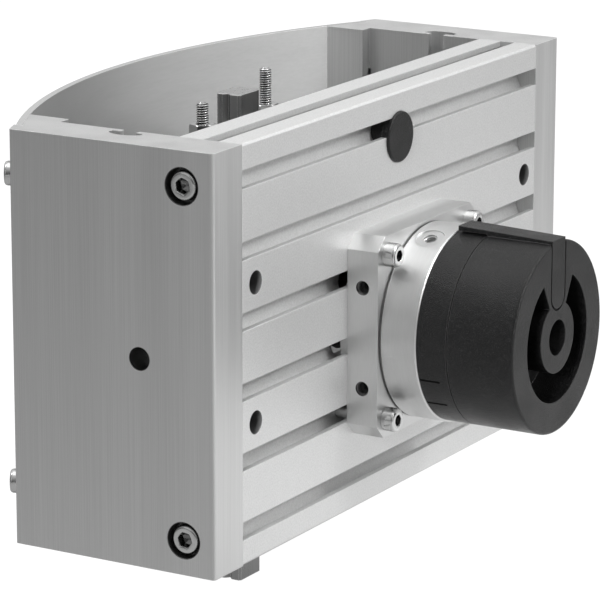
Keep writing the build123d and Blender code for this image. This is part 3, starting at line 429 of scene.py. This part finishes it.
# A threaded rod: a cylinder whose wall follows a triangular thread, with chamfered ends
def makeThreadTree():
    tree, start, end = geometryTree("threadedRod", [
        ("Length", "NodeSocketFloat", 30 * mm), ("Radius", "NodeSocketFloat", 2 * mm),
        ("Pitch", "NodeSocketFloat", 0.7 * mm), ("Depth", "NodeSocketFloat", 0.43 * mm),
        ("Chamfer", "NodeSocketFloat", 0.6 * mm), ("Around", "NodeSocketInt", 48),
        ("Rows", "NodeSocketInt", 200), ("Finish", "NodeSocketMaterial", None)])
    length, radius = start.outputs["Length"], start.outputs["Radius"]
    rod = addNode(tree, "GeometryNodeMeshCylinder", fill_type="NONE")
    put(tree, rod.inputs["Vertices"], start.outputs["Around"])
    put(tree, rod.inputs["Side Segments"], start.outputs["Rows"])
    put(tree, rod.inputs["Radius"], radius)
    put(tree, rod.inputs["Depth"], length)
    x, y, z = splitVector(tree, addNode(tree, "GeometryNodeInputPosition").outputs[0])
    angle = calc(tree, "DIVIDE", calc(tree, "ARCTAN2", y, x), tau)
    phase = calc(tree, "SUBTRACT", calc(tree, "DIVIDE", z, start.outputs["Pitch"]), angle)
    wave = calc(tree, "MULTIPLY", calc(tree, "PINGPONG", phase, 0.5), 2.0)
    thread = calc(tree, "SUBTRACT", radius, calc(tree, "MULTIPLY", wave, start.outputs["Depth"]))
    fromEnd = calc(tree, "SUBTRACT", calc(tree, "MULTIPLY", length, 0.5), calc(tree, "ABSOLUTE", z))
    limit = calc(tree, "ADD", calc(tree, "SUBTRACT", radius, start.outputs["Chamfer"]), fromEnd)
    share = calc(tree, "DIVIDE", calc(tree, "MINIMUM", thread, limit), radius)
    moved = joinVector(tree, calc(tree, "MULTIPLY", x, share), calc(tree, "MULTIPLY", y, share), z)
    move = addNode(tree, "GeometryNodeSetPosition")
    put(tree, move.inputs["Geometry"], rod.outputs["Mesh"])
    put(tree, move.inputs["Position"], moved)
    # The thread depth is stored as root, for painted shade in the thread roots
    store = addNode(tree, "GeometryNodeStoreNamedAttribute", data_type="FLOAT", domain="POINT")
    put(tree, store.inputs["Geometry"], move.outputs["Geometry"])
    store.inputs["Name"].default_value = "root"
    put(tree, store.inputs["Value"], wave)
    finishTree(tree, store.outputs["Geometry"], start.outputs["Finish"], end)
    return tree


# The thread that shows inside a tapped hole: a coil of a four-sided ridge
def makeCoilTree():
    tree, start, end = geometryTree("holeThread", [
        ("Radius", "NodeSocketFloat", 2 * mm), ("Pitch", "NodeSocketFloat", 0.8 * mm),
        ("Turns", "NodeSocketFloat", 5.0), ("Ridge", "NodeSocketFloat", 0.3 * mm),
        ("Steps", "NodeSocketInt", 40), ("Sides", "NodeSocketInt", 4),
        ("Finish", "NodeSocketMaterial", None)])
    height = calc(tree, "MULTIPLY", start.outputs["Turns"], start.outputs["Pitch"])
    spiral = addNode(tree, "GeometryNodeCurveSpiral")
    put(tree, spiral.inputs["Resolution"], start.outputs["Steps"])
    put(tree, spiral.inputs["Rotations"], start.outputs["Turns"])
    put(tree, spiral.inputs["Start Radius"], start.outputs["Radius"])
    put(tree, spiral.inputs["End Radius"], start.outputs["Radius"])
    put(tree, spiral.inputs["Height"], height)
    ridge = addNode(tree, "GeometryNodeCurvePrimitiveCircle", mode="RADIUS")
    put(tree, ridge.inputs["Resolution"], start.outputs["Sides"])
    put(tree, ridge.inputs["Radius"], start.outputs["Ridge"])
    sweep = addNode(tree, "GeometryNodeCurveToMesh")
    put(tree, sweep.inputs["Curve"], spiral.outputs["Curve"])
    put(tree, sweep.inputs["Profile Curve"], ridge.outputs["Curve"])
    sweep.inputs["Fill Caps"].default_value = True
    drop = addNode(tree, "GeometryNodeTransform")
    put(tree, drop.inputs["Geometry"], sweep.outputs["Mesh"])
    put(tree, drop.inputs["Translation"], joinVector(tree, 0.0, 0.0, calc(tree, "MULTIPLY", height, -1.0)))
    finishTree(tree, drop.outputs["Geometry"], start.outputs["Finish"], end)
    return tree


seatingTree = makeSeatingTree()
threadTree = makeThreadTree()
coilTree = makeCoilTree()
sharpAngle = 35.0  # edges that turn by more degrees stay sharp
print("geometry trees done")


# Puts an object in the scene, with an empty mesh unless it gets other data
def newObject(name, data=None):
    piece = bpy.data.objects.new(name, data or bpy.data.meshes.new(name))
    bpy.context.scene.collection.objects.link(piece)
    return piece


def dropObject(piece):
    mesh = piece.data
    bpy.data.objects.remove(piece)
    bpy.data.meshes.remove(mesh)


# Puts a tree on an object with its named inputs, and leaves the plain mesh that it makes
def runTree(piece, tree, **inputs):
    modifier = piece.modifiers.new(tree.name, "NODES")
    modifier.node_group = tree
    for item in tree.interface.items_tree:
        if item.in_out == "INPUT" and item.name in inputs:
            modifier[item.identifier] = inputs[item.name]
    piece.update_tag()
    graph = bpy.context.evaluated_depsgraph_get()
    mesh = bpy.data.meshes.new_from_object(piece.evaluated_get(graph), depsgraph=graph)
    piece.modifiers.clear()
    piece.data = mesh
    mesh.set_sharp_from_angle(angle=radians(sharpAngle))
    return piece


def finishMesh(name, shape, angle=sharpAngle):
    bmesh.ops.recalc_face_normals(shape, faces=shape.faces)
    mesh = bpy.data.meshes.new(name)
    shape.to_mesh(mesh)
    shape.free()
    for face in mesh.polygons:
        face.use_smooth = True
    mesh.set_sharp_from_angle(angle=radians(angle))
    return mesh


# Rings of points, which have as many points as their neighbours
def roundRing(radius, z, count):
    return [(radius * cos(tau * i / count), radius * sin(tau * i / count), z) for i in range(count)]


def knurlRing(radius, z, count, depth):
    return [((radius - depth * (i % 2)) * cos(tau * i / count),
             (radius - depth * (i % 2)) * sin(tau * i / count), z) for i in range(count)]


def hexRing(width, z, count):
    ring = []
    for i in range(count):
        angle = tau * i / count
        reach = width / 2 / cos((angle % (pi / 3)) - pi / 6)
        ring.append((reach * cos(angle), reach * sin(angle), z))
    return ring


def joinRings(shape, rings):
    loops = [[shape.verts.new(point) for point in ring] for ring in rings]
    for lower, upper in zip(loops, loops[1:]):
        for index in range(len(lower)):
            after = (index + 1) % len(lower)
            shape.faces.new((lower[index], lower[after], upper[after], upper[index]))
    return loops


def closeRing(shape, loop, tip):
    centre = shape.verts.new(tip)
    for index in range(len(loop)):
        shape.faces.new((centre, loop[index], loop[(index + 1) % len(loop)]))


# Cap screws that show: each set takes its seats from the box of its node
m4Head = {"thread": 4.0 * mm, "head": 7.0 * mm, "height": 4.0 * mm, "key": 3.0 * mm, "keyDepth": 2.2 * mm}
m5Head = {"thread": 5.0 * mm, "head": 8.5 * mm, "height": 5.0 * mm, "key": 4.0 * mm, "keyDepth": 2.6 * mm}
capScrew = {"around": 84, "play": 0.03 * mm, "tipWidth": 0.8, "tipLength": 0.2, "footInset": 0.25 * mm,
            "footStep": 0.07 * mm, "footHeight": 0.15 * mm, "knurlFrom": 0.3 * mm, "knurlDepth": 0.12 * mm,
            "knurlFade": 0.15 * mm, "plainShare": 0.22, "shoulder": 0.06 * mm, "topFlat": 0.45 * mm,
            "bendSteps": 5, "rimWidth": 1.03, "rimDrop": 0.12 * mm, "drillWidth": 0.3, "drillDrop": 0.12,
            "drillTip": 0.2, "darkFrom": 0.1 * mm}


# Socket head cap screw with a knurled head, its seat at the origin and its head towards +Z
def capScrewMesh(name, size):
    around = capScrew["around"]
    head, height, key = size["head"] / 2, size["height"], size["key"]
    shank = size["thread"] / 2 - capScrew["play"]
    floor = height - size["keyDepth"]
    knurlTop = height - capScrew["plainShare"] * size["head"] / 2
    shoulder = head - capScrew["shoulder"]
    socketRim = key / sqrt(3) * capScrew["rimWidth"]
    rings = [
        roundRing(shank * capScrew["tipWidth"], -size["length"], around),
        roundRing(shank, -size["length"] + capScrew["tipLength"] * shank, around),
        roundRing(shank, 0.0, around),
        roundRing(head - capScrew["footInset"], 0.0, around),
        roundRing(head - capScrew["footStep"], capScrew["footHeight"], around),
        knurlRing(head, capScrew["knurlFrom"], around, capScrew["knurlDepth"]),
        knurlRing(head, knurlTop - capScrew["knurlFade"], around, capScrew["knurlDepth"]),
        roundRing(shoulder, knurlTop, around),
    ]
    bend = min(head - socketRim - capScrew["topFlat"], height - knurlTop)
    for step in range(1, capScrew["bendSteps"] + 1):
        angle = step * pi / (2 * capScrew["bendSteps"])
        rings.append(roundRing(shoulder - bend * (1 - cos(angle)), height - bend * (1 - sin(angle)), around))
    rings += [
        roundRing(socketRim, height, around),
        hexRing(key, height - capScrew["rimDrop"], around),
        hexRing(key, floor, around),
        roundRing(key * capScrew["drillWidth"], floor - capScrew["drillDrop"] * key, around),
    ]
    shape = bmesh.new()
    loops = joinRings(shape, rings)
    closeRing(shape, loops[0], (0.0, 0.0, -size["length"]))
    closeRing(shape, loops[-1], (0.0, 0.0, floor - capScrew["drillTip"] * key))
    mesh = finishMesh(name, shape)
    # The root attribute marks the socket for painted shade
    root = mesh.attributes.new("root", "FLOAT", "POINT")  # darkens the socket
    for index, vertex in enumerate(mesh.vertices):
        x, y, z = vertex.co
        inSocket = 0.0 < z < height - capScrew["darkFrom"] and x * x + y * y < socketRim ** 2
        root.data[index].value = float(inSocket)
    return mesh


# Sets a template on its seats, each a point and the way it faces, and removes the template
def seatPieces(name, template, seats, finish, seed):
    mesh = bpy.data.meshes.new(name)
    mesh.from_pydata([point for point, direction in seats], [], [])
    facing = mesh.attributes.new("facing", "FLOAT_VECTOR", "POINT")
    for index, (point, direction) in enumerate(seats):
        facing.data[index].vector = direction
    piece = runTree(newObject(name, mesh), seatingTree, Piece=template, Finish=finish, Seed=seed)
    dropObject(template)
    return piece


def screwSet(node, size, length, seats, body, seed):
    name = node + "Template"
    template = newObject(name, capScrewMesh(name, {**size, "length": length}))
    piece = seatPieces(node.replace("_", "") + "Detailed", template, seats, screwFinish, seed)
    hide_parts(node)
    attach(piece, body)


fourWays = [(side, level) for side in (-1, 1) for level in (-1, 1)]
towardsFront = (0.0, -1.0, 0.0)

endLow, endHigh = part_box("end_plate_screws")
endSeatX = endHigh[0] - m5Head["height"]
endSeatY = (endLow[1] + endHigh[1]) / 2
endSeatZ = endHigh[2] - m5Head["head"] / 2
endSeats = [((side * endSeatX, endSeatY, level * endSeatZ), (side, 0.0, 0.0)) for side, level in fourWays]
screwSet("end_plate_screws", m5Head, length=22.0 * mm, seats=endSeats, body="root", seed=3)

flangeLow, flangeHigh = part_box("flange_screws")
flangeSeatY = flangeLow[1] + m4Head["height"]
flangeSpread = flangeHigh[0] - m4Head["head"] / 2
driveZ = (flangeLow[2] + flangeHigh[2]) / 2
flangeSeats = [((side * flangeSpread, flangeSeatY, driveZ + level * flangeSpread), towardsFront)
               for side, level in fourWays]
screwSet("flange_screws", m4Head, length=flangeHigh[1] - flangeSeatY, seats=flangeSeats, body="root", seed=5)

coverArc = {"radius": 200.0 * mm, "screwX": 92.5 * mm, "screwZ": 45.0 * mm, "screwLength": 10.0 * mm}
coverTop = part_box("curved_cover")[1][1]
coverShare = coverArc["screwX"] / coverArc["radius"]
coverLevel = sqrt(1 - coverShare ** 2)
coverSeatY = coverTop - coverArc["radius"] * (1 - coverLevel)
coverSeats = [((side * coverArc["screwX"], coverSeatY, level * coverArc["screwZ"]),
               (side * coverShare, coverLevel, 0.0)) for side, level in fourWays]
screwSet("cover_screws", m4Head, length=coverArc["screwLength"], seats=coverSeats, body="root", seed=7)

capLow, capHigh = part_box("cap_screw")
capSeatY = capLow[1] + m4Head["height"]
capSeats = [((0.0, capSeatY, driveZ), towardsFront)]
screwSet("cap_screw", m4Head, length=capHigh[1] - capSeatY, seats=capSeats, body="swing_drive", seed=9)
print("cap screws done")

# Grub screws with a rolled thread and a hexagon socket in the tip
stopScrew = {"pitch": 0.7 * mm, "depth": 0.43 * mm, "chamfer": 0.62 * mm, "around": 48, "rowsPerPitch": 8,
             "key": 2.0 * mm, "keyDepth": 2.5 * mm, "rimWidth": 1.05, "rimDrop": 0.15 * mm,
             "weld": 0.002 * mm, "sharpAngle": 38.0}


# How high the solids of a node reach left and right of its middle
def solidTops(node):
    middle = sum(corner[0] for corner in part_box(node)) / 2
    sides = ([], [])
    for vertex in nodes[node].data.vertices:
        sides[vertex.co.x > middle].append(vertex.co.z)
    return max(sides[0]), max(sides[1])


# Closes both ends of a rod: a flat foot, and a tip with a hexagon socket
def addTips(shape, x, y, bottom, top, radius):
    count, key = stopScrew["around"], stopScrew["key"]
    floor = top - stopScrew["keyDepth"]
    rings = [roundRing(radius, top, count), roundRing(key / sqrt(3) * stopScrew["rimWidth"], top, count),
             hexRing(key, top - stopScrew["rimDrop"], count), hexRing(key, floor, count)]
    move = Matrix.Translation((x, y, 0.0))
    tip = joinRings(shape, [[move @ Vector(point) for point in ring] for ring in rings])
    foot = joinRings(shape, [[move @ Vector(point) for point in roundRing(radius, bottom, count)]])
    closeRing(shape, tip[-1], (x, y, floor))
    closeRing(shape, foot[0], (x, y, bottom))


def makeStopScrews():
    low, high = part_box("stop_screws")
    leftTop, rightTop = solidTops("stop_screws")
    radius = (high[1] - low[1]) / 2
    y = (low[1] + high[1]) / 2
    shape = bmesh.new()
    for x, top in ((low[0] + radius, leftTop), (high[0] - radius, rightTop)):
        length = top - low[2]
        rows = int(length / stopScrew["pitch"] * stopScrew["rowsPerPitch"])
        rod = runTree(newObject("threadRod"), threadTree, Length=length, Radius=radius, Rows=rows,
                      Pitch=stopScrew["pitch"], Depth=stopScrew["depth"], Chamfer=stopScrew["chamfer"],
                      Around=stopScrew["around"], Finish=threadFinish)
        rod.data.transform(Matrix.Translation((x, y, (low[2] + top) / 2)))
        shape.from_mesh(rod.data)
        dropObject(rod)
        addTips(shape, x, y, low[2], top, radius - stopScrew["chamfer"])
    bmesh.ops.remove_doubles(shape, verts=shape.verts, dist=stopScrew["weld"])
    mesh = finishMesh("stopScrewsThreaded", shape, stopScrew["sharpAngle"])
    mesh.materials.clear()
    mesh.materials.append(threadFinish)
    for face in mesh.polygons:
        face.material_index = 0
    piece = newObject("stopScrewsThreaded", mesh)
    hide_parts("stop_screws")
    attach(piece, "cross_slide")


makeStopScrews()
print("stop screws done")

# Threads inside the tapped holes at the flange's sides and inside the two air ports
holeThread = {"radius": 2.05 * mm, "pitch": 0.8 * mm, "ridge": 0.28 * mm, "turns": 8.0,
              "steps": 40, "sides": 4, "inset": 0.3 * mm, "y": -5.0 * mm, "z": 15.0 * mm, "seed": 11,
              "portAngle": 20.0, "portY": -15.9 * mm, "portInset": 1.0 * mm}


def makeHoleThreads():
    finish = finishes["drive_aluminium"]
    template = runTree(newObject("coilTemplate"), coilTree, Radius=holeThread["radius"],
                       Pitch=holeThread["pitch"], Turns=holeThread["turns"], Ridge=holeThread["ridge"],
                       Steps=holeThread["steps"], Sides=holeThread["sides"], Finish=finish)
    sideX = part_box("drive_flange")[1][0] - holeThread["inset"]
    seats = [((side * sideX, holeThread["y"], driveZ + level * holeThread["z"]), (side, 0.0, 0.0))
             for side, level in fourWays]
    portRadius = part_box("drive_barrel")[1][0] - holeThread["portInset"]
    portAngle = radians(holeThread["portAngle"])
    for side in (-1, 1):
        direction = Vector((side * sin(portAngle), 0.0, cos(portAngle)))
        point = Vector((0.0, holeThread["portY"], driveZ)) + direction * portRadius
        seats.append((tuple(point), tuple(direction)))
    piece = seatPieces("tappedThreads", template, seats, finish, holeThread["seed"])
    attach(piece, "root")


makeHoleThreads()
print("hole threads done")

# Two pairs of position marks let into the collar
collarMark = {"angles": (202.0, 220.6, -22.0, -40.6), "width": 0.75 * mm, "depth": 0.25 * mm,
              "from": -28.5 * mm, "to": -21.9 * mm, "proud": 0.04 * mm, "rounding": 0.05 * mm}
markInk = {"grain": 3000.0, "colour": grey(0.001), "speck": grey(0.004), "roughness": 0.8, "gloss": 0.1}


def makeMarkInk():
    material, tree, shader, place = newMaterial("markInk")
    grain = placeGroup(tree, speckleGroup, Vector=place, Grain=markInk["grain"])
    colour = mixColour(tree, grain.outputs["Speck"], markInk["colour"], markInk["speck"])
    put(tree, shader.inputs["Base Color"], colour)
    put(tree, shader.inputs["Roughness"], markInk["roughness"])
    put(tree, shader.inputs["Specular IOR Level"], markInk["gloss"])
    return material


def makeCollarMarks():
    low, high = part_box("scale_collar")
    depth = collarMark["depth"]
    length = collarMark["to"] - collarMark["from"]
    middle = (collarMark["to"] + collarMark["from"]) / 2
    reach = (high[0] - low[0]) / 2 + collarMark["proud"] - depth / 2
    shape = bmesh.new()
    for angle in collarMark["angles"]:
        bar = bmesh.ops.create_cube(shape, size=1.0)["verts"]
        turn = Matrix.Rotation(-radians(angle), 3, "Y")
        bmesh.ops.scale(shape, vec=(depth, length, collarMark["width"]), verts=bar)
        bmesh.ops.translate(shape, vec=(reach, 0.0, 0.0), verts=bar)
        bmesh.ops.rotate(shape, cent=(0.0, 0.0, 0.0), matrix=turn, verts=bar)
        bmesh.ops.translate(shape, vec=(0.0, middle, driveZ), verts=bar)
    bmesh.ops.bevel(shape, geom=shape.edges[:], offset=collarMark["rounding"], segments=2, affect="EDGES")
    piece = newObject("collarMarks", finishMesh("collarMarks", shape))
    piece.data.materials.append(makeMarkInk())
    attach(piece, "root")


makeCollarMarks()
print("collar marks done")

# The paper is white to the eye, and in mirrored light it fades with distance and to the left
paleFloor = {"size": 6.0, "drop": 0.2 * mm, "colour": grey(0.06), "roughness": 0.9}
floorGlow = {"near": 0.82, "far": 0.3, "distances": (0.1, 0.7), "left": 0.42, "sides": (-0.1, 0.15),
             "rightWay": (1.0, -1.0, 0.0), "seen": 1.0}


def makeFloor():
    reach, z = paleFloor["size"] / 2, cadBox[0][2] - paleFloor["drop"]
    mesh = bpy.data.meshes.new("paleFloor")
    corners = [(x * reach, y * reach, z) for x, y in ((-1, -1), (1, -1), (1, 1), (-1, 1))]
    mesh.from_pydata(corners, [], [(0, 1, 2, 3)])
    material, tree, shader, place = newMaterial("palePaper")
    put(tree, shader.inputs["Base Color"], (*paleFloor["colour"], 1.0))
    put(tree, shader.inputs["Roughness"], paleFloor["roughness"])
    put(tree, shader.inputs["Specular IOR Level"], 0.0)
    distance = calcVector(tree, "LENGTH", place, result=1)
    glow = remap(tree, distance, *floorGlow["distances"], floorGlow["near"], floorGlow["far"])
    right = calcVector(tree, "DOT_PRODUCT", place, floorGlow["rightWay"], result=1)
    glow = calc(tree, "MULTIPLY", glow, remap(tree, right, *floorGlow["sides"], floorGlow["left"], 1.0))
    seen = addNode(tree, "ShaderNodeLightPath").outputs["Is Camera Ray"]
    glow = calc(tree, "MAXIMUM", glow, calc(tree, "MULTIPLY", seen, floorGlow["seen"]))
    put(tree, shader.inputs["Emission Color"], (*grey(1.0), 1.0))
    put(tree, shader.inputs["Emission Strength"], glow)
    mesh.materials.append(material)
    newObject("paleFloor", mesh)


makeFloor()

# The photograph's point of view, with angles in degrees and the lens in millimetres
photoCamera = {"position": (-906.39 * mm, -499.07 * mm, 260.51 * mm), "azimuth": 59.5661,
               "elevation": 14.28, "roll": 0.0876, "lens": 217.07, "sensor": 36.0, "nearClip": 0.05}


def makeCamera():
    turn, tilt, roll = (radians(photoCamera[key]) for key in ("azimuth", "elevation", "roll"))
    forward = Vector((sin(turn) * cos(tilt), cos(turn) * cos(tilt), -sin(tilt)))
    right = Vector((cos(turn), -sin(turn), 0.0))
    up = right.cross(forward)
    rolledRight = cos(roll) * right + sin(roll) * up
    rolledUp = cos(roll) * up - sin(roll) * right
    data = bpy.data.cameras.new("photoCamera")
    data.sensor_width = photoCamera["sensor"]
    data.lens = photoCamera["lens"]
    data.clip_start = photoCamera["nearClip"]
    camera = newObject("photoCamera", data)
    basis = Matrix((rolledRight, rolledUp, -forward)).transposed().to_4x4()
    camera.matrix_world = Matrix.Translation(photoCamera["position"]) @ basis
    bpy.context.scene.camera = camera


makeCamera()

# Soft boxes, and a spot that lightens the middle of the plate
softBoxes = {
    "topLight": {"position": (0.1, -0.2, 1.3), "size": (1.2, 1.2), "power": 3.4},
    "rimLight": {"position": (-0.33, 0.65, 1.1), "size": (0.5, 0.5), "power": 2.0},
    "frontLight": {"position": (0.2, -1.3, 0.9), "size": (0.9, 0.7), "power": 4.5},
    "coverLight": {"position": (-1.6, -0.25, 0.55), "target": (0.04, 0.08, 0.03), "size": (0.35, 0.35),
                   "power": 80.0, "mirrored": False},
    "leftLight": {"position": (-1.4, 0.5, 0.5), "target": (0.0, 0.0, -0.05), "size": (0.8, 0.8),
                  "power": 0.6},
}
plateSpot = {"position": (0.15, -1.2, 0.8), "target": (-0.01, -0.03, 0.01), "angle": 9.0, "blend": 1.0,
             "radius": 0.12, "power": 50.0}


def hangLight(name, data, look):
    light = newObject(name, data)
    aim = Vector(look.get("target", (0.0, 0.0, 0.0))) - Vector(look["position"])
    light.location = look["position"]
    light.rotation_euler = aim.to_track_quat("-Z", "Y").to_euler()
    light.visible_glossy = look.get("mirrored", True)
    data.energy = look["power"]


def makeLights():
    for name, look in softBoxes.items():
        data = bpy.data.lights.new(name, "AREA")
        data.shape = "RECTANGLE"
        data.size, data.size_y = look["size"]
        hangLight(name, data, look)
    data = bpy.data.lights.new("plateSpot", "SPOT")
    data.spot_size = radians(plateSpot["angle"])
    data.spot_blend = plateSpot["blend"]
    data.shadow_soft_size = plateSpot["radius"]
    hangLight("plateSpot", data, plateSpot)


makeLights()

# The sky that metal mirrors: dim on the left, bright in front, on the right and above
studioSky = {"leftWay": (-0.95, 0.25, -0.1), "leftRange": (-0.2, 0.85), "right": 0.52, "left": 0.12,
             "frontWay": (0.45, -0.85, 0.1), "frontRange": (0.2, 1.0), "front": 0.1,
             "topRange": (0.1, 0.9), "top": 0.3}


def makeWorld():
    world = bpy.data.worlds.new("studioSky")
    world.use_nodes = True
    bpy.context.scene.world = world
    tree = world.node_tree
    back = tree.nodes["Background"]
    direction = addNode(tree, "ShaderNodeTexCoord").outputs["Generated"]
    left = calcVector(tree, "DOT_PRODUCT", direction, studioSky["leftWay"], result=1)
    front = calcVector(tree, "DOT_PRODUCT", direction, studioSky["frontWay"], result=1)
    top = splitVector(tree, direction)[2]
    level = remap(tree, left, *studioSky["leftRange"], studioSky["right"], studioSky["left"])
    level = calc(tree, "ADD", level, remap(tree, front, *studioSky["frontRange"], 0.0, studioSky["front"]))
    level = calc(tree, "ADD", level, remap(tree, top, *studioSky["topRange"], 0.0, studioSky["top"]))
    seen = addNode(tree, "ShaderNodeLightPath").outputs["Is Camera Ray"]
    level = calc(tree, "MAXIMUM", level, seen)
    put(tree, back.inputs["Color"], mixColour(tree, level, grey(0.0), grey(1.0)))
    put(tree, back.inputs["Strength"], 1.0)


makeWorld()
bpy.context.scene.view_settings.view_transform = "Standard"
bpy.context.scene.view_settings.look = "None"
print("stage done")
